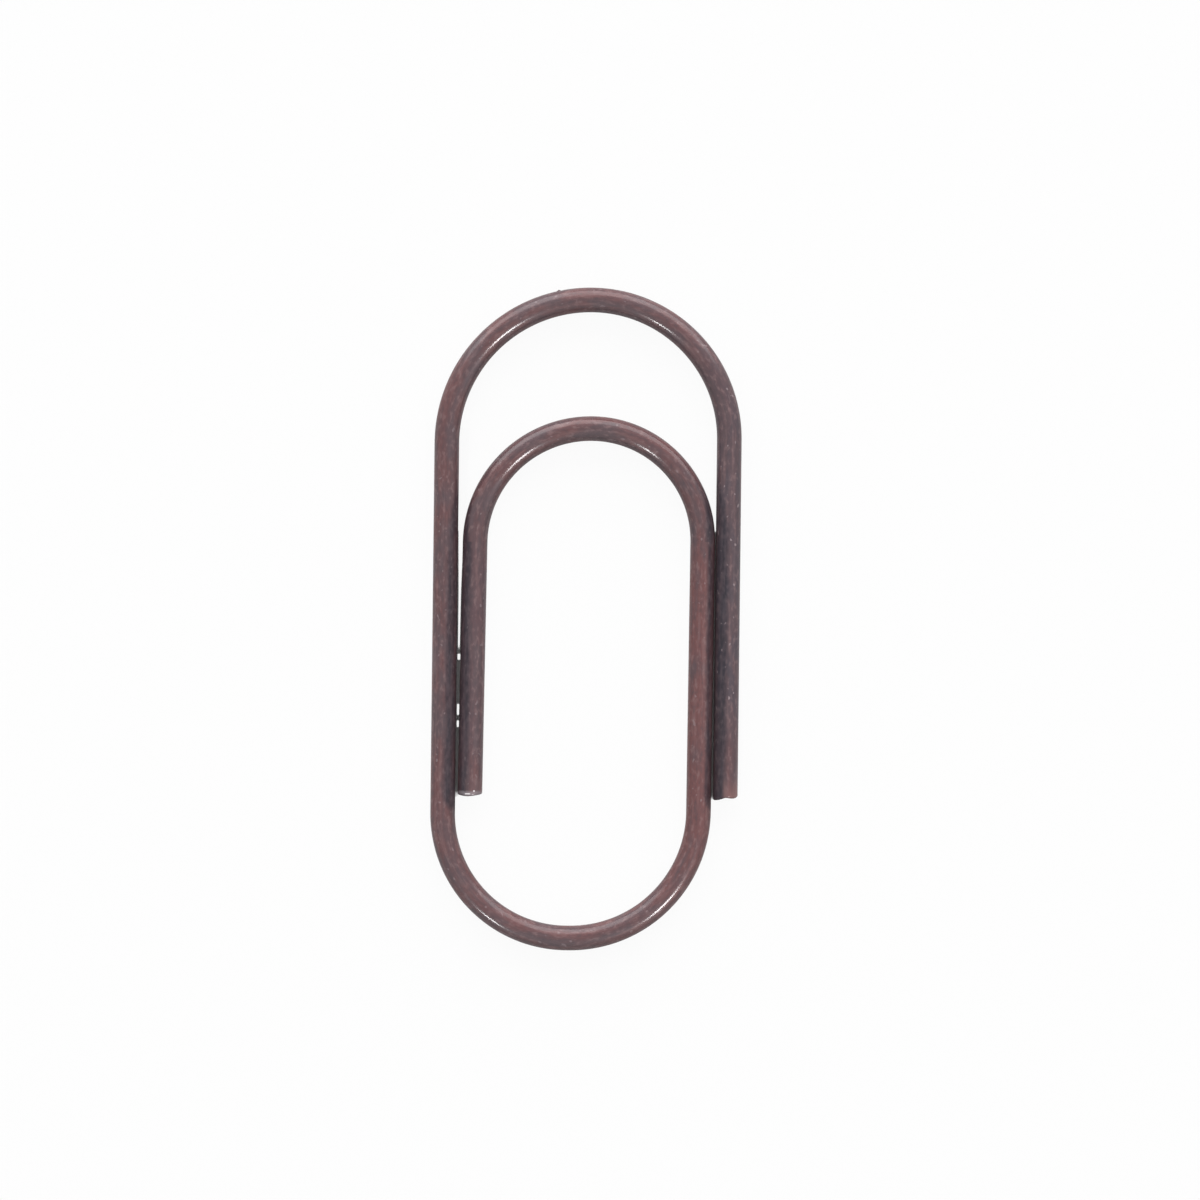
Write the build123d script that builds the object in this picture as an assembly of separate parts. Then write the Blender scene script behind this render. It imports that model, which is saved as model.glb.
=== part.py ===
from build123d import *
import math
import os

# A double-loop paper clip: one length of round wire with three bows, lying flat.
# X runs across the clip, +Y along it towards the outer bow, +Z up from the table.
# The origin is the middle of the footprint, on the table.

# Driving dimensions, in millimetres
overall_length = 15.0
overall_width = 6.95
wire_diameter = 0.56
# How far the tongue's crown stops short of the outer bow's crown
tongue_setback = 2.91
# Heights of the two cut ends above the lower bow's outside
outer_end_height = 3.43
tongue_end_height = 3.47
# How far each crown lies to the right of the middle between its legs
outer_crown_shift = 0.06
tongue_crown_shift = 0.027
# Length of the flat at the foot, where the lower bow's left half ends
foot_flat = 0.08
# Clear gap between the tongue leg and the outer free leg, level with the tongue's foot and with its crown
outer_gap_at_foot = 0.055
outer_gap_at_crown = 0.005
# Clear gap between the tongue free leg and the long leg, level with the cut end and with the tongue's crown
inner_gap_at_end = 0.05
inner_gap_at_crown = 0.13
# Rounding of the cut ends' rims
cut_rim_radius = 0.06

# The wire's middle lies half a diameter above the table and inside the outline
wire_radius = wire_diameter / 2
crown_y = overall_length / 2 - wire_radius
foot_y = -crown_y
tongue_crown_y = crown_y - tongue_setback
outer_end_y = -overall_length / 2 + outer_end_height
tongue_end_y = -overall_length / 2 + tongue_end_height

# The outer bow joins two upright legs, the long leg and the outer free leg.
# Its crown lies off the middle, so each half has its own radius.
outer_leg_x = (overall_width - wire_diameter) / 2
long_leg_x = -outer_leg_x
outer_left_radius = outer_crown_shift - long_leg_x
outer_left_centre = (outer_crown_shift, crown_y - outer_left_radius)
outer_right_radius = outer_leg_x - outer_crown_shift
outer_right_centre = (outer_crown_shift, crown_y - outer_right_radius)

# The tongue leg leans a little, from its wider gap at the foot to its narrower one at the crown
tongue_leg_foot_x = outer_leg_x - wire_diameter - outer_gap_at_foot
tongue_leg_crown_x = outer_leg_x - wire_diameter - outer_gap_at_crown
tongue_leg_lean = math.atan2(tongue_leg_crown_x - tongue_leg_foot_x, tongue_crown_y - foot_y)

# The tongue free leg leans the same way, from its end beside the long leg
tongue_arm_end_x = long_leg_x + wire_diameter + inner_gap_at_end
tongue_arm_crown_x = long_leg_x + wire_diameter + inner_gap_at_crown
tongue_arm_lean = math.atan2(tongue_arm_crown_x - tongue_arm_end_x, tongue_crown_y - tongue_end_y)

# The lower bow's right half touches the foot's level and the tongue leg.
# Its left half is tighter by the flat's length and touches the long leg.
lower_right_radius = (tongue_leg_foot_x - long_leg_x) / (
    1 + (1 - math.sin(tongue_leg_lean)) / math.cos(tongue_leg_lean)
)
foot_x = long_leg_x + lower_right_radius
lower_right_centre = (foot_x, foot_y + lower_right_radius)
lower_left_radius = lower_right_radius - foot_flat
lower_left_centre = (foot_x - foot_flat, foot_y + lower_left_radius)

# The tongue bow's halves touch the tongue leg and the tongue free leg, and meet at the tongue's crown
tongue_crown_x = (tongue_leg_crown_x + tongue_arm_crown_x) / 2 + tongue_crown_shift
tongue_right_radius = (tongue_leg_crown_x - tongue_crown_x) * math.cos(tongue_leg_lean) / (
    1 + math.sin(tongue_leg_lean)
)
tongue_right_centre = (tongue_crown_x, tongue_crown_y - tongue_right_radius)
tongue_left_radius = (tongue_crown_x - tongue_arm_crown_x) * math.cos(tongue_arm_lean) / (
    1 - math.sin(tongue_arm_lean)
)
tongue_left_centre = (tongue_crown_x, tongue_crown_y - tongue_left_radius)

# Where each bow starts and ends, in degrees counted from +X towards +Y
CROWN = 90
FOOT = 270
LONG_LEG_SIDE = 180
OUTER_LEG_SIDE = 0
TONGUE_LEG_SIDE = -math.degrees(tongue_leg_lean)
TONGUE_ARM_SIDE = 180 - math.degrees(tongue_arm_lean)
FULL_TURN = 360


def on_bow(centre, radius, angle):
    """The point of a bow's middle line at an angle."""
    turn = math.radians(angle)
    return Vector(centre[0] + radius * math.cos(turn), centre[1] + radius * math.sin(turn), wire_radius)


def leg(start, end):
    """A straight stretch of wire between two points of its middle line."""
    along = end - start
    section = Plane(origin=start, z_dir=along) * Circle(wire_radius)
    return extrude(section, amount=along.length)


def bow(centre, radius, start_angle, end_angle):
    """A round stretch of wire that turns from one angle up to another."""
    start = on_bow(centre, radius, start_angle)
    outwards = start - Vector(centre[0], centre[1], wire_radius)
    section = Plane(origin=start, x_dir=outwards, z_dir=Vector(0, 0, 1).cross(outwards)) * Circle(wire_radius)
    pivot = Axis((centre[0], centre[1], wire_radius), (0, 0, 1))
    return revolve(section, axis=pivot, revolution_arc=end_angle - start_angle)


def with_cut_end(stretch, end):
    """The same stretch with the rim of its cut end rounded."""
    rim = stretch.edges().filter_by(GeomType.CIRCLE).sort_by_distance(end)[0]
    return fillet(rim, cut_rim_radius)


# Where the straight legs meet the bows
outer_leg_top = on_bow(outer_right_centre, outer_right_radius, OUTER_LEG_SIDE)
outer_leg_end = Vector(outer_leg_x, outer_end_y, wire_radius)
long_leg_top = on_bow(outer_left_centre, outer_left_radius, LONG_LEG_SIDE)
long_leg_foot = on_bow(lower_left_centre, lower_left_radius, LONG_LEG_SIDE)
flat_start = on_bow(lower_left_centre, lower_left_radius, FOOT)
flat_end = on_bow(lower_right_centre, lower_right_radius, FOOT)
tongue_leg_foot = on_bow(lower_right_centre, lower_right_radius, TONGUE_LEG_SIDE)
tongue_leg_top = on_bow(tongue_right_centre, tongue_right_radius, TONGUE_LEG_SIDE)
tongue_arm_top = on_bow(tongue_left_centre, tongue_left_radius, TONGUE_ARM_SIDE)
tongue_arm_end = Vector(tongue_arm_end_x, tongue_end_y, wire_radius)

# The lower bow's left half runs on into the flat at the foot
lower_left_bend = bow(lower_left_centre, lower_left_radius, LONG_LEG_SIDE, FOOT)
lower_left_flat = leg(flat_start, flat_end)

# The wire from its outer cut end to its inner one, each bow halved at its crown, where the wire twists
stretches = {
    "outer_free_leg": with_cut_end(leg(outer_leg_top, outer_leg_end), outer_leg_end),
    "outer_bow_right": bow(outer_right_centre, outer_right_radius, OUTER_LEG_SIDE, CROWN),
    "outer_bow_left": bow(outer_left_centre, outer_left_radius, CROWN, LONG_LEG_SIDE),
    "long_leg": leg(long_leg_top, long_leg_foot),
    "lower_bow_left": lower_left_bend + lower_left_flat,
    "lower_bow_right": bow(lower_right_centre, lower_right_radius, FOOT, FULL_TURN + TONGUE_LEG_SIDE),
    "tongue_leg": leg(tongue_leg_foot, tongue_leg_top),
    "tongue_bow_right": bow(tongue_right_centre, tongue_right_radius, TONGUE_LEG_SIDE, CROWN),
    "tongue_bow_left": bow(tongue_left_centre, tongue_left_radius, CROWN, TONGUE_ARM_SIDE),
    "tongue_free_leg": with_cut_end(leg(tongue_arm_top, tongue_arm_end), tongue_arm_end),
}

os.makedirs("parts", exist_ok=True)
for name, stretch in stretches.items():
    export_step(stretch, f"parts/{name}.step")
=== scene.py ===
import math

import bpy
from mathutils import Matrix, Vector
from mathutils.bvhtree import BVHTree


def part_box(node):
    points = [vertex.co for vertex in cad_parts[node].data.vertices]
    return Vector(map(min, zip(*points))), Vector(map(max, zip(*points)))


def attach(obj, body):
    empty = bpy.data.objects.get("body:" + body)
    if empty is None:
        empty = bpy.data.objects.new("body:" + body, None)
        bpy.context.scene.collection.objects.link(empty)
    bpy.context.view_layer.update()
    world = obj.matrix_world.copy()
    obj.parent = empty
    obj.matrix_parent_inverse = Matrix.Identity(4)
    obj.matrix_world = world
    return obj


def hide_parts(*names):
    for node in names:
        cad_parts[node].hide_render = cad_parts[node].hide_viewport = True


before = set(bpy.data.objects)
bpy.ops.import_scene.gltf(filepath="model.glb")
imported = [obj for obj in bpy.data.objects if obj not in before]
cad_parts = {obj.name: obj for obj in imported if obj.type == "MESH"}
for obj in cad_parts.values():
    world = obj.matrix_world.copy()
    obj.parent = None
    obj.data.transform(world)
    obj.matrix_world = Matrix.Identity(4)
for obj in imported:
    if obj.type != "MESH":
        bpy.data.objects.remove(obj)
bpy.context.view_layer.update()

scene = bpy.context.scene
scene.view_settings.view_transform = "Standard"

# Outer free leg: the straight start of the wire, on the clip's right side.
# Drawn steel wire in a brown antique finish, sheared off at its lower end,
# where the blades left a step across the face and rubbed the brown through to copper.
mm = 0.001
wire_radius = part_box("long_leg")[1].z / 2
# The drawn wire is a hair thinner than the solid and stays inside its box
hair = 0.00002 * mm
ring_radius = wire_radius - hair
ring_sides = 48
ring_pitch = 0.05 * mm


def ring(start, heading):
    """Starts a stretch with the wire's round section, square to its heading."""
    bpy.ops.object.select_all(action="DESELECT")
    facing = (-math.pi / 2, 0, heading - math.pi / 2)
    bpy.ops.mesh.primitive_circle_add(
        vertices=ring_sides, radius=ring_radius, location=start, rotation=facing
    )
    bpy.ops.object.transform_apply(location=True, rotation=True, scale=True)
    bpy.ops.object.mode_set(mode="EDIT")
    bpy.ops.mesh.select_all(action="SELECT")


def draw_straight(start, end):
    """Draws a straight stretch of wire from its first ring and gives back how its points lie in the wire."""
    run = end - start
    ahead = run.normalized()
    left = Vector((-ahead.y, ahead.x, 0))
    ring(start, math.atan2(run.y, run.x))
    steps = round(run.length / ring_pitch)
    bpy.ops.mesh.extrude_repeat(steps=steps, offset=run / steps)

    def lie(point):
        away = point - start
        return Vector((away.dot(ahead), away.dot(left), away.z))

    return run.length, lie


def select_round(middle, reach):
    """Selects the points of the wire round a place."""
    bpy.ops.mesh.select_all(action="DESELECT")
    bpy.ops.object.mode_set(mode="OBJECT")
    for vertex in bpy.context.object.data.vertices:
        vertex.select = (vertex.co - middle).length < reach
    bpy.ops.object.mode_set(mode="EDIT")
    bpy.ops.mesh.select_mode(type="VERT")


def cut_off(end, outwards, rim):
    """Rounds the wire's rim over to a cut face, in rings through a quarter turn, and closes the face."""
    ring_reach = 1.01 * wire_radius
    select_round(end - outwards * rim, ring_reach)
    rim_rings = 5
    face_rings = 5
    turns = [math.pi / 2 * step / rim_rings for step in range(rim_rings + 1)]
    for before, after in zip(turns, turns[1:]):
        advance = outwards * rim * (math.sin(after) - math.sin(before))
        radius_before = ring_radius - rim * (1 - math.cos(before))
        radius_after = ring_radius - rim * (1 - math.cos(after))
        narrower = radius_after / radius_before
        bpy.ops.mesh.extrude_region_move(TRANSFORM_OT_translate={"value": advance})
        here = end - outwards * rim * (1 - math.sin(after))
        bpy.ops.transform.resize(value=(narrower, narrower, narrower), center_override=here)
    bpy.ops.mesh.edge_face_add()
    for face_ring in range(face_rings):
        bpy.ops.mesh.inset(thickness=(ring_radius - rim) / (face_rings + 1))


def close_stretch(name):
    """Closes a stretch's open ends and turns its faces outwards."""
    bpy.ops.mesh.select_all(action="DESELECT")
    bpy.ops.mesh.select_non_manifold()
    bpy.ops.mesh.fill_holes(sides=0)
    bpy.ops.mesh.select_all(action="SELECT")
    bpy.ops.mesh.normals_make_consistent(inside=False)
    bpy.ops.object.mode_set(mode="OBJECT")
    stretch = bpy.context.object
    stretch.name = name
    stretch.data.name = name
    return stretch


def shear(stretch, end, lean, set_back):
    """Shapes a cut face like the blades did, by how far it is set back from the clip's left to its right."""
    reach = 0.5 * mm
    up_the_leg = Vector((math.sin(lean), math.cos(lean), 0))
    bpy.ops.object.add(type="LATTICE", location=end + up_the_leg * reach / 2, rotation=(0, 0, -lean))
    blades = bpy.context.object
    blades.scale = (2 * wire_radius, reach, 2 * wire_radius)
    blades.data.points_u = len(set_back)
    blades.data.points_v = 2
    blades.data.points_w = 1
    blades.data.interpolation_type_v = "KEY_LINEAR"
    for point, distance in zip(blades.data.points, set_back):
        point.co_deform.y += distance / reach
    bpy.ops.object.select_all(action="DESELECT")
    stretch.select_set(True)
    bpy.context.view_layer.objects.active = stretch
    stretch.modifiers.new("sheared", "LATTICE").object = blades
    bpy.ops.object.modifier_apply(modifier="sheared")
    bpy.data.objects.remove(blades)


class Shade:
    """A value in a material's node tree. Arithmetic on it adds Math nodes."""

    def __init__(self, tree, socket=None):
        self.tree = tree
        self.socket = socket

    def node(self, kind, settings=None, inputs=None, output=0):
        """Adds a node, sets it up, feeds its sockets and gives back one of its outputs."""
        made = self.tree.nodes.new(kind)
        for key, value in (settings or {}).items():
            setattr(made, key, value)
        for key, value in (inputs or {}).items():
            if isinstance(value, Shade):
                self.tree.links.new(value.socket, made.inputs[key])
            else:
                made.inputs[key].default_value = value
        return Shade(self.tree, made.outputs[output] if made.outputs else None)

    def math(self, operation, *values):
        return self.node("ShaderNodeMath", {"operation": operation}, dict(enumerate(values)))

    def __add__(self, other):
        return self.math("ADD", self, other)

    def __sub__(self, other):
        return self.math("SUBTRACT", self, other)

    def __rsub__(self, other):
        return self.math("SUBTRACT", other, self)

    def __mul__(self, other):
        return self.math("MULTIPLY", self, other)

    __radd__ = __add__
    __rmul__ = __mul__

    def size(self):
        return self.math("ABSOLUTE", self)

    def rise(self, low, high):
        """Goes smoothly from 0 at low to 1 at high."""
        return self.node(
            "ShaderNodeMapRange",
            {"interpolation_type": "SMOOTHSTEP"},
            {"Value": self, "From Min": low, "From Max": high},
        )

    def tint(self, under, over):
        """Lays one colour over another, as far as this value says."""
        return self.node("ShaderNodeMix", {"data_type": "RGBA"}, {0: self, 6: under, 7: over}, 2)

    def noise(self, along, across, detail):
        """Cloudy values from 0 to 1, with so many clouds to the millimetre along and across the wire."""
        density = (along, across, across)
        stretched = self.node("ShaderNodeVectorMath", {"operation": "MULTIPLY"}, {0: self, 1: density})
        return self.node("ShaderNodeTexNoise", {}, {"Vector": stretched, "Scale": 1.0, "Detail": detail})


def colour(red, green, blue):
    """A display colour from 0 to 255 as the light it stands for."""
    return tuple((level / 255) ** 2.2 for level in (red, green, blue)) + (1.0,)


mauve_brown = colour(89, 66, 69)
red_brown = colour(110, 66, 64)
grey_film = colour(81, 70, 75)
blue_film = colour(72, 66, 74)
pale_dust = colour(136, 110, 110)
dark_patina = colour(63, 56, 61)
# Seam colours: partly the finish's patina and partly painted shade between the wires
seam_patina_and_shade_dark = colour(38, 39, 47)
seam_patina_and_shade_grey = colour(63, 59, 66)
worn_copper = colour(146, 108, 103)
bare_metal_and_sheen = colour(146, 138, 143)
pale_speck = colour(152, 136, 139)
painted_glint = colour(228, 222, 224)

antique_brown = bpy.data.materials.new("antique_brown_wire")
antique_brown.use_nodes = True
tree = antique_brown.node_tree
tree.nodes.clear()
shade = Shade(tree)
# Places are in millimetres: along the wire, towards the inside of its bends, and up
place = shade.node("ShaderNodeAttribute", {"attribute_name": "wire_place"}, output=1)
run = place.node("ShaderNodeSeparateXYZ", inputs={0: place})
side = place.node("ShaderNodeSeparateXYZ", inputs={0: place}, output=1)
up = place.node("ShaderNodeSeparateXYZ", inputs={0: place}, output=2)
to_end = shade.node("ShaderNodeAttribute", {"attribute_name": "to_cut_end"}, output=2)
recess = shade.node("ShaderNodeAttribute", {"attribute_name": "recess"}, output=2)
streaks = place.noise(0.8, 10, 2)
die_lines = place.noise(1.5, 50, 2)
clouds = place.noise(1.2, 4.0, 2)
grain = place.noise(6, 12, 2)
specks = place.noise(9, 12, 0)

copper_run = run.rise(32.5, 35.5) * (1 - run.rise(40.5, 42.5))
outer_leg_run = run.rise(0.6, 2.2) * (1 - run.rise(7.8, 11.5))
film_run = outer_leg_run + 0.5 * run.rise(48.5, 50.5) * (1 - run.rise(54.0, 55.0))
copper = (streaks * 0.4 + clouds * 0.6 + copper_run * 0.12).rise(0.44, 0.66)
film = 1 - (clouds + copper_run * 0.15).rise(0.32, 0.54)
skin = (copper * (0.5 + 0.15 * copper_run)).tint(mauve_brown, red_brown)
skin = (film * 0.5).tint(skin, grey_film)
skin = (film_run * (0.1 + 0.7 * clouds.rise(0.36, 0.64))).tint(skin, blue_film)
skin = (streaks.rise(0.5, 0.72) * 0.22).tint(skin, pale_dust)
skin = (grain.rise(0.5, 0.74) * 0.36).tint(skin, pale_dust)
skin = ((1 - grain.rise(0.27, 0.5)) * 0.36).tint(skin, dark_patina)
# Painted shade, partly patina: darker where a neighbouring wire lies beside, strongest on the wire's upper
# half
patina_and_painted_shade = (recess + (clouds - 0.5) * 0.36 + (streaks - 0.5) * 0.2).rise(0.0, 0.34)
seam_patina_and_shade = (streaks * 0.5 + grain * 0.5).rise(0.38, 0.62).tint(seam_patina_and_shade_dark, seam_patina_and_shade_grey)
skin = (patina_and_painted_shade * (0.4 + 0.52 * up.rise(-0.22, 0.1))).tint(skin, seam_patina_and_shade)
skin = (specks.rise(0.75, 0.84) * (0.32 + 0.38 * outer_leg_run) * (1 - 0.5 * patina_and_painted_shade)).tint(skin, pale_speck)
on_tongue = run.rise(50.0, 50.5)
rubbed = (1 - (to_end + (grain - 0.5) * 0.3 + (clouds - 0.5) * 0.8).rise(0.08, 0.5)) * (1 - patina_and_painted_shade)
skin = (rubbed * (0.5 - 0.35 * on_tongue)).tint(skin, worn_copper)
# The tongue's end has a pale rim, partly bare metal and partly painted sheen, with two painted glints
bare_rim_and_sheen = (1 - (to_end + (grain - 0.5) * 0.06).rise(0.08, 0.15)) * on_tongue
skin = (bare_rim_and_sheen * 0.55).tint(skin, bare_metal_and_sheen)
# Painted glints: two bright spots on the rim where it would catch the light
long_painted_glint = 1 - (side + 0.045).size().rise(0.04, 0.075)
long_painted_glint = long_painted_glint * (1 - (to_end - 0.06).size().rise(0.004, 0.02))
short_painted_glint = 1 - (side - 0.1).size().rise(0.006, 0.024)
short_painted_glint = short_painted_glint * (1 - (to_end - 0.125).size().rise(0.006, 0.024))
skin = ((long_painted_glint + short_painted_glint) * on_tongue).tint(skin, painted_glint)

relief = die_lines * 0.4 + grain * 0.6
bump = shade.node("ShaderNodeBump", {}, {"Height": relief, "Strength": 0.2, "Distance": 0.004 * mm})
surface = shade.node(
    "ShaderNodeBsdfPrincipled",
    {},
    {
        "Base Color": skin,
        "Metallic": 0.25,
        "Roughness": 0.5 + 0.16 * grain + 0.1 * patina_and_painted_shade,
        "Specular IOR Level": 0.2,
        "Coat Weight": 0.55 - 0.4 * patina_and_painted_shade,
        "Coat Roughness": 0.18,
        "Normal": bump,
    },
)
shade.node("ShaderNodeOutputMaterial", inputs={"Surface": surface})

# The length of wire before the stretch in hand, and a distance in millimetres for one without a cut end
wire_run = 0.0
far_from_ends = 9.0
smooth_angle = math.radians(40)


def dress(stretch, node, body, lie, beside=(), reach=0.36, cut_end=None):
    """Gives a stretch its finish and body, and marks how its points lie to wire, cut end and neighbours.

    Within the reach, in millimetres, of a neighbour beside it the finish is darkened, partly patina and
    partly painted shade.
    """
    next_wires = []
    for neighbour in beside:
        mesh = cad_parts[neighbour].data
        corners = [vertex.co for vertex in mesh.vertices]
        faces = [face.vertices for face in mesh.polygons]
        next_wires.append(BVHTree.FromPolygons(corners, faces))
    places = []
    ends = []
    depths = []
    for vertex in stretch.data.vertices:
        places.extend((lie(vertex.co) + Vector((wire_run, 0, -wire_radius))) / mm)
        ends.append(far_from_ends if cut_end is None else abs(vertex.co.y - cut_end.y) / mm)
        gap = min([reach] + [wire.find_nearest(vertex.co)[3] / mm for wire in next_wires])
        depths.append(1 - gap / reach)
    stretch.data.attributes.new("wire_place", "FLOAT_VECTOR", "POINT").data.foreach_set("vector", places)
    stretch.data.attributes.new("to_cut_end", "FLOAT", "POINT").data.foreach_set("value", ends)
    stretch.data.attributes.new("recess", "FLOAT", "POINT").data.foreach_set("value", depths)
    stretch.data.materials.append(antique_brown)
    bpy.ops.object.shade_smooth_by_angle(angle=smooth_angle)
    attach(stretch, body)
    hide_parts(node)


outer_right_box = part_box("outer_bow_right")
outer_right_radius = outer_right_box[1].x - outer_right_box[0].x - wire_radius
outer_crown = Vector((outer_right_box[0].x, outer_right_box[1].y - wire_radius, wire_radius))
outer_right_centre = outer_crown - Vector((0, outer_right_radius, 0))
outer_leg_top = outer_right_centre + Vector((outer_right_radius, 0, 0))
outer_leg_end = Vector((outer_leg_top.x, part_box("outer_free_leg")[0].y, wire_radius))
down = Vector((0, -1, 0))
outer_rim = 0.05 * mm
length, lie = draw_straight(outer_leg_end - down * outer_rim, outer_leg_top)
cut_off(outer_leg_end, down, outer_rim)
outer_free_leg = close_stretch("outer_free_leg_wire")
# How far the cut face is set back across the wire, in millimetres
outer_face = [0.0, 0.010, 0.022, 0.045, 0.077, 0.060, 0.050, 0.052, 0.085]
shear(outer_free_leg, outer_leg_end, 0, [distance * mm for distance in outer_face])
beside_outer_leg = ["tongue_leg", "tongue_bow_right"]
dress(outer_free_leg, "outer_free_leg", "outer_arm", lie, beside_outer_leg, reach=0.44, cut_end=outer_leg_end)
wire_run += length

# Outer bow: the large bend at the clip's top, in two halves that meet at the crown.
# The same wire, bent round a peg, with a small burr on its outside.
# It twists at the crown when the clip is opened, so a hair of a gap parts the halves there.
crown_gap = 0.0005 * mm


def bend(centre, radius, start_angle, end_angle, open_start=0.0, open_end=0.0):
    """Bends a stretch of wire anticlockwise round a centre and gives back how its points lie in the wire."""
    from_angle = start_angle + open_start / radius
    to_angle = end_angle - open_end / radius
    start = centre + radius * Vector((math.cos(from_angle), math.sin(from_angle), 0))
    ring(start, from_angle + math.pi / 2)
    steps = round(radius * (to_angle - from_angle) / ring_pitch)
    bpy.ops.mesh.spin(steps=steps, angle=to_angle - from_angle, center=centre, axis=(0, 0, -1))

    def lie(point):
        away = point - centre
        # Points just before the start count as a small turn back
        margin = math.pi / 4
        turned = (math.atan2(away.y, away.x) - start_angle + margin) % (2 * math.pi) - margin
        return Vector((turned * radius, radius - math.hypot(away.x, away.y), away.z))

    return radius * (end_angle - start_angle), lie


crown = math.pi / 2
length, lie = bend(outer_right_centre, outer_right_radius, 0, crown, open_end=crown_gap)
outer_bow_right = close_stretch("outer_bow_right_wire")
dress(outer_bow_right, "outer_bow_right", "outer_arm", lie)
wire_run += length

outer_left_radius = outer_crown.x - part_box("outer_bow_left")[0].x - wire_radius
outer_left_centre = outer_crown - Vector((0, outer_left_radius, 0))
length, lie = bend(outer_left_centre, outer_left_radius, crown, math.pi, open_start=crown_gap)
# The burr stands up beside a small dent, each at its angle in degrees round the bend
burr_reach = 0.045 * mm
for angle, height in ((102.35, 0.026 * mm), (101.2, -0.010 * mm)):
    outwards = Vector((math.cos(math.radians(angle)), math.sin(math.radians(angle)), 0))
    select_round(outer_left_centre + outwards * (outer_left_radius + ring_radius), burr_reach)
    bpy.ops.transform.translate(value=outwards * height)
outer_bow_left = close_stretch("outer_bow_left_wire")
dress(outer_bow_left, "outer_bow_left", "outer_loop", lie)
wire_run += length

# Long leg: the straight left side of the clip, from the outer bow down to the lower bow.
# The same drawn wire; it is darkened where the tongue's free leg lies against it, partly patina and partly
# painted shade.
lower_left_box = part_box("lower_bow_left")
lower_left_radius = lower_left_box[1].y - lower_left_box[0].y - wire_radius
lower_left_x = lower_left_box[0].x + wire_radius + lower_left_radius
lower_left_centre = Vector((lower_left_x, lower_left_box[1].y, wire_radius))
long_leg_top = outer_left_centre - Vector((outer_left_radius, 0, 0))
long_leg_foot = lower_left_centre - Vector((lower_left_radius, 0, 0))
length, lie = draw_straight(long_leg_top, long_leg_foot)
long_leg = close_stretch("long_leg_wire")
dress(long_leg, "long_leg", "outer_loop", lie, ["tongue_free_leg", "tongue_bow_left"], reach=0.45)
wire_run += length

# Lower bow: the bend at the clip's foot, in two halves, the left one with a short flat where they meet.
# It is the clip's main spring: the tongue lifts by the twist of this bend.
lower_right_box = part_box("lower_bow_right")
lower_right_radius = lower_right_box[1].x - lower_right_box[0].x - wire_radius
lower_foot = Vector((lower_right_box[0].x, lower_right_box[0].y + wire_radius, wire_radius))
lower_right_centre = lower_foot + Vector((0, lower_right_radius, 0))
foot_flat = lower_foot.x - lower_left_centre.x
foot = 3 * math.pi / 2
length, lie = bend(lower_left_centre, lower_left_radius, math.pi, foot)
bpy.ops.mesh.extrude_region_move(TRANSFORM_OT_translate={"value": (foot_flat - crown_gap, 0, 0)})
lower_bow_left = close_stretch("lower_bow_left_wire")
dress(lower_bow_left, "lower_bow_left", "outer_loop", lie, ["tongue_free_leg"])
wire_run += length + foot_flat

tongue_right_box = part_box("tongue_bow_right")
tongue_right_radius = tongue_right_box[1].x - tongue_right_box[0].x - wire_radius
tongue_crown = Vector((tongue_right_box[0].x, tongue_right_box[1].y - wire_radius, wire_radius))
tongue_right_centre = tongue_crown - Vector((0, tongue_right_radius, 0))
between = tongue_right_centre - lower_right_centre
taper = math.asin((lower_right_radius - tongue_right_radius) / between.length)
tongue_leg_lean = math.atan2(between.x, between.y) - taper
tongue_leg_side = 2 * math.pi - tongue_leg_lean
length, lie = bend(lower_right_centre, lower_right_radius, foot, tongue_leg_side, open_start=crown_gap)
lower_bow_right = close_stretch("lower_bow_right_wire")
dress(lower_bow_right, "lower_bow_right", "tongue", lie, ["outer_free_leg"])
wire_run += length

# Tongue leg: the straight inner leg on the right, leaning a little towards the outer free leg.
# The same drawn wire, redder along the middle, and darkened in the seam beside its neighbour, partly patina
# and partly painted shade.
to_the_right = Vector((math.cos(tongue_leg_lean), -math.sin(tongue_leg_lean), 0))
tongue_leg_foot = lower_right_centre + lower_right_radius * to_the_right
tongue_leg_top = tongue_right_centre + tongue_right_radius * to_the_right
length, lie = draw_straight(tongue_leg_foot, tongue_leg_top)
tongue_leg = close_stretch("tongue_leg_wire")
dress(tongue_leg, "tongue_leg", "tongue", lie, ["outer_free_leg"], reach=0.30)
wire_run += length

# Tongue bow: the small inner bend at the tongue's tip, in two halves that meet at the crown.
# The same wire, bent tighter; the paper's edge goes in over it.
length, lie = bend(tongue_right_centre, tongue_right_radius, -tongue_leg_lean, crown, open_end=crown_gap)
tongue_bow_right = close_stretch("tongue_bow_right_wire")
dress(tongue_bow_right, "tongue_bow_right", "tongue", lie, ["outer_free_leg"])
wire_run += length

tongue_left_radius = tongue_crown.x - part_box("tongue_bow_left")[0].x - wire_radius
tongue_left_centre = tongue_crown - Vector((0, tongue_left_radius, 0))
tongue_arm_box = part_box("tongue_free_leg")
tongue_arm_end = Vector((tongue_arm_box[0].x + wire_radius, tongue_arm_box[0].y, wire_radius))
hang = tongue_arm_end - tongue_left_centre
tongue_arm_lean = math.acos(tongue_left_radius / hang.length) - math.atan2(-hang.y, -hang.x)
tongue_arm_side = math.pi - tongue_arm_lean
length, lie = bend(tongue_left_centre, tongue_left_radius, crown, tongue_arm_side, open_start=crown_gap)
tongue_bow_left = close_stretch("tongue_bow_left_wire")
dress(tongue_bow_left, "tongue_bow_left", "tongue_arm", lie, ["long_leg"])
wire_run += length
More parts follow.
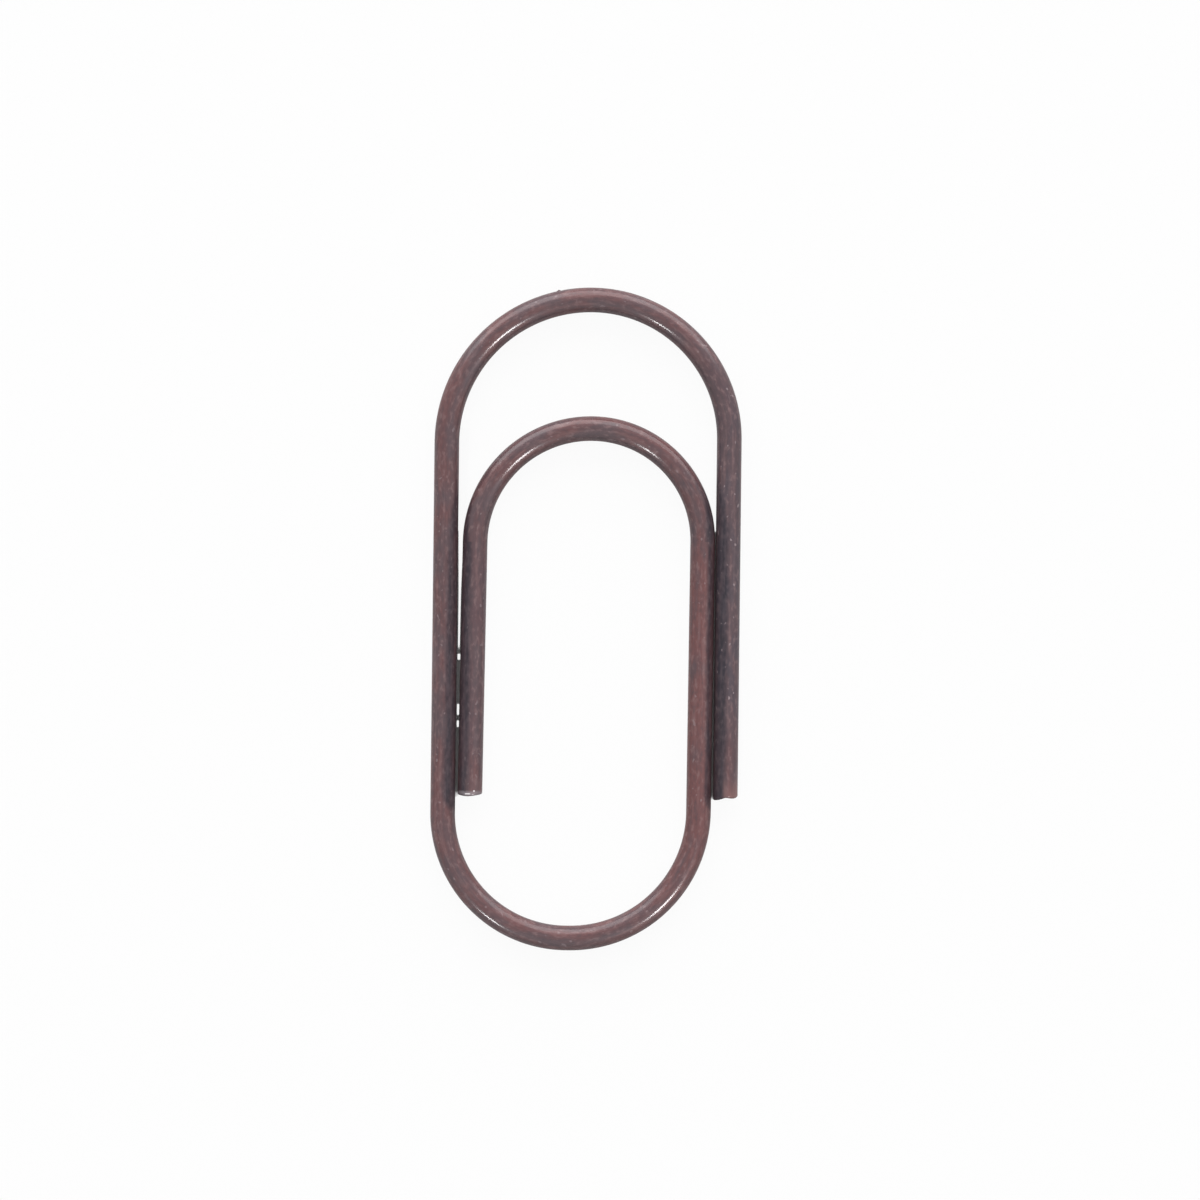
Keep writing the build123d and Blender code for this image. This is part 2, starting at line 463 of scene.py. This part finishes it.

# Tongue free leg: the straight end of the wire, beside the long leg.
# The same drawn wire, cut off at its lower end with a crowned face and a pale rubbed rim, partly bare metal
# and partly painted sheen, with two painted glints.
to_the_left = Vector((-math.cos(tongue_arm_lean), math.sin(tongue_arm_lean), 0))
tongue_arm_top = tongue_left_centre + tongue_left_radius * to_the_left
down_the_arm = (tongue_arm_end - tongue_arm_top).normalized()
tongue_rim = 0.05 * mm
length, lie = draw_straight(tongue_arm_top, tongue_arm_end - down_the_arm * tongue_rim)
cut_off(tongue_arm_end, down_the_arm, tongue_rim)
tongue_free_leg = close_stretch("tongue_free_leg_wire")
tongue_face = [0.024, 0.016, 0.006, 0.0, 0.004, 0.012, 0.024, 0.034, 0.044]
shear(tongue_free_leg, tongue_arm_end, tongue_arm_lean, [distance * mm for distance in tongue_face])
dress(tongue_free_leg, "tongue_free_leg", "tongue_arm", lie, ["long_leg"], reach=0.44, cut_end=tongue_arm_end)

# Floor: a pale studio table that the clip lies on.
# It is clear to the camera, down to the white backdrop, and matt white for other light.
# So it keeps the clip's soft shadow and still shows a leg that is flexed below the table's level.
floor_size = 6.0
bpy.ops.object.select_all(action="DESELECT")
bpy.ops.mesh.primitive_plane_add(size=floor_size, location=(0, 0, 0))
floor = bpy.context.object
floor.name = "studio_floor"
# A strip of floor shows in each seam, as a darker board with painted shade. Its edges are tucked under the
# wires, further at the top.
low_tuck = 0.02 * mm
high_tuck = 0.06 * mm
to_left = Vector((-1, 0, 0))
to_right = Vector((1, 0, 0))
strip_edges = []
for low, high, to_seam in (
    (long_leg_foot, long_leg_top, to_right),
    (tongue_arm_end, tongue_arm_top, to_left),
    (tongue_leg_foot, tongue_leg_top, to_right),
    (outer_leg_end, outer_leg_top, to_left),
):
    low_edge = low + to_seam * (wire_radius - low_tuck)
    high_edge = high + to_seam * (wire_radius - high_tuck)
    strip_edges.append((low_edge, high_edge - low_edge))
cuts = [(edge, (edge_run.y, -edge_run.x, 0)) for edge, edge_run in strip_edges]
cuts += [(outer_leg_end, (0, 1, 0)), (tongue_crown, (0, 1, 0))]
cut_threshold = 0.00001 * mm
bpy.ops.object.mode_set(mode="EDIT")
for edge, square_to_it in cuts:
    bpy.ops.mesh.select_all(action="SELECT")
    bpy.ops.mesh.bisect(plane_co=edge, plane_no=square_to_it, threshold=cut_threshold)
bpy.ops.object.mode_set(mode="OBJECT")
for face in floor.data.polygons:
    beside_legs = outer_leg_end.y < face.center.y < tongue_crown.y
    edges_to_the_left = sum((face.center - edge).cross(edge_run).z > 0 for edge, edge_run in strip_edges)
    face.material_index = int(beside_legs and edges_to_the_left % 2 == 1)


def light_through(shade):
    """Painted light on the floor in the gap beside the tongue free leg: its open top and three slits below.
    """
    # Each slit's middle and half its length
    slit_places = ((-0.89 * mm, 0.04 * mm), (-2.085 * mm, 0.10 * mm), (-2.41 * mm, 0.05 * mm))
    slit_fade = 0.06 * mm
    # How far the painted shade of each wire comes into the gap, and half the width of its soft edge
    long_leg_shade = 0.015 * mm
    tongue_shade = 0.0275 * mm
    soft = 0.0075 * mm
    here = shade.node("ShaderNodeTexCoord", output="Object")
    across = here.node("ShaderNodeSeparateXYZ", inputs={0: here})
    along = here.node("ShaderNodeSeparateXYZ", inputs={0: here}, output=1)
    from_long_leg = across - (long_leg_top.x + wire_radius)
    slope = math.tan(tongue_arm_lean)
    from_tongue = along * slope + (tongue_arm_top.x - slope * tongue_arm_top.y - wire_radius) - across
    slits = 0
    for middle, half in slit_places:
        slits = slits + (1 - (along - middle).size().rise(half, half + slit_fade))
    shaded = (1 - along.rise(0.4 * mm, 1.9 * mm)) * (1 - 0.6 * slits)
    beside_long_leg = (from_long_leg - shaded * long_leg_shade).rise(-soft, soft)
    beside_tongue = (from_tongue - shaded * tongue_shade).rise(-soft, soft)
    open_gap = along.rise(-0.82 * mm, -0.56 * mm)
    above_legs = along.rise(1.92 * mm, 2.05 * mm)
    return beside_long_leg * beside_tongue * (open_gap + slits) + above_legs


def board(name, grey, in_seam):
    """The table's board, matt in a shade of grey, clear to the camera, and dark to it in a closed seam as
    painted shade, with painted light where the gap opens.
    """
    clearness = 0.94
    seam_glow = 0.018
    white_in_gloss = 0.2
    material = bpy.data.materials.new(name)
    material.use_nodes = True
    tree = material.node_tree
    tree.nodes.clear()
    shade = Shade(tree)
    to_camera = shade.node("ShaderNodeLightPath", output="Is Camera Ray")
    in_gloss = shade.node("ShaderNodeLightPath", output="Is Glossy Ray")
    through_glass = shade.node("ShaderNodeLightPath", output="Is Transmission Ray")
    from_below = shade.node("ShaderNodeNewGeometry", output="Backfacing")
    clear = to_camera * clearness
    if in_seam:
        sky = shade.node("ShaderNodeAmbientOcclusion", {"samples": 32}, {"Distance": 1.0 * mm}, output="AO")
        lit_gap = (sky + 0.3 * light_through(shade)).rise(0.25, 0.35)
        clear = clear * (seam_glow + (1 - seam_glow) * lit_gap)
    matt = shade.node("ShaderNodeBsdfDiffuse", inputs={"Color": (grey, grey, grey, 1)})
    white = shade.node("ShaderNodeEmission", inputs={"Color": (1, 1, 1, 1), "Strength": 1.0})
    white_share = (in_gloss + through_glass) * white_in_gloss
    lit = shade.node("ShaderNodeMixShader", inputs={0: white_share, 1: matt, 2: white})
    see_through = shade.node("ShaderNodeBsdfTransparent")
    mixed = shade.node("ShaderNodeMixShader", inputs={0: clear + from_below, 1: lit, 2: see_through})
    shade.node("ShaderNodeOutputMaterial", inputs={"Surface": mixed})
    return material


floor.data.materials.append(board("floor_white", 0.8, False))
# The seam strips get the darker board: painted shade between the wires
floor.data.materials.append(board("floor_in_seams", 0.4, True))

# Studio light: a white room, brighter towards the clip's top, and a broad low soft box beyond the top.
# Two small soft boxes in front, left and right, draw the bright streaks on the bends.
world = bpy.data.worlds.new("studio")
scene.world = world
world.use_nodes = True
tree = world.node_tree
tree.nodes.clear()
shade = Shade(tree)
to_camera = shade.node("ShaderNodeLightPath", output="Is Camera Ray")
in_gloss = shade.node("ShaderNodeLightPath", output="Is Glossy Ray")
through_glass = shade.node("ShaderNodeLightPath", output="Is Transmission Ray")
direction = shade.node("ShaderNodeTexCoord", output="Object")
towards_top = direction.node("ShaderNodeSeparateXYZ", inputs={0: direction}, output=1)
upwards = direction.node("ShaderNodeSeparateXYZ", inputs={0: direction}, output=2)
room = 0.36 + 0.18 * towards_top + 0.36 * upwards
backdrop = shade.node("ShaderNodeBackground", inputs={"Color": (1, 1, 1, 1), "Strength": 1.0})
lit_room = shade.node("ShaderNodeBackground", inputs={"Color": (1, 1, 1, 1), "Strength": room})
shows_backdrop = to_camera + in_gloss + through_glass
seen = shade.node("ShaderNodeMixShader", inputs={0: shows_backdrop, 1: lit_room, 2: backdrop})
shade.node("ShaderNodeOutputWorld", inputs={"Surface": seen})


def soft_box(name, azimuth, elevation, distance, width, height, radiance, sparkle_only=False):
    """Hangs a soft box that faces the clip, or only the sparkle of one that is too small to light it."""
    turn = math.radians(azimuth)
    rise = math.radians(elevation)
    towards = Vector((math.cos(rise) * math.cos(turn), math.cos(rise) * math.sin(turn), math.sin(rise)))
    lamp = bpy.data.lights.new(name, "AREA")
    lamp.shape = "RECTANGLE"
    lamp.size = width
    lamp.size_y = height
    lamp.energy = radiance * math.pi * width * height
    hung = bpy.data.objects.new(name, lamp)
    hung.location = towards * distance
    hung.rotation_euler = towards.to_track_quat("Z", "Y").to_euler()
    hung.visible_camera = False
    hung.visible_diffuse = not sparkle_only
    scene.collection.objects.link(hung)


soft_box("top_soft_box", azimuth=90, elevation=19, distance=0.50, width=1.20, height=0.48, radiance=3.5)
soft_box(
    "right_soft_box", azimuth=311.5, elevation=43, distance=0.40,
    width=0.070, height=0.085, radiance=66.0, sparkle_only=True,
)
soft_box(
    "left_soft_box", azimuth=236.5, elevation=36, distance=0.40,
    width=0.036, height=0.060, radiance=78.0, sparkle_only=True,
)

# Camera: straight above the clip, as the photograph was taken, on a long lens.
# It is turned by the clip's slight lean in the photograph.
photo_width = 27.15 * mm
photo_middle = Vector((0.310 * mm, 0.434 * mm, wire_radius))
photo_turn = math.radians(0.66)
lens = 120.0
sensor = 36.0
camera = bpy.data.cameras.new("photo_camera")
camera.lens = lens
camera.sensor_width = sensor
camera.clip_start = 0.005
camera.clip_end = 20.0
stand = bpy.data.objects.new("photo_camera", camera)
stand.rotation_euler = (0, 0, photo_turn)
stand.location = photo_middle + Vector((0, 0, photo_width * lens / sensor))
scene.collection.objects.link(stand)
scene.camera = stand
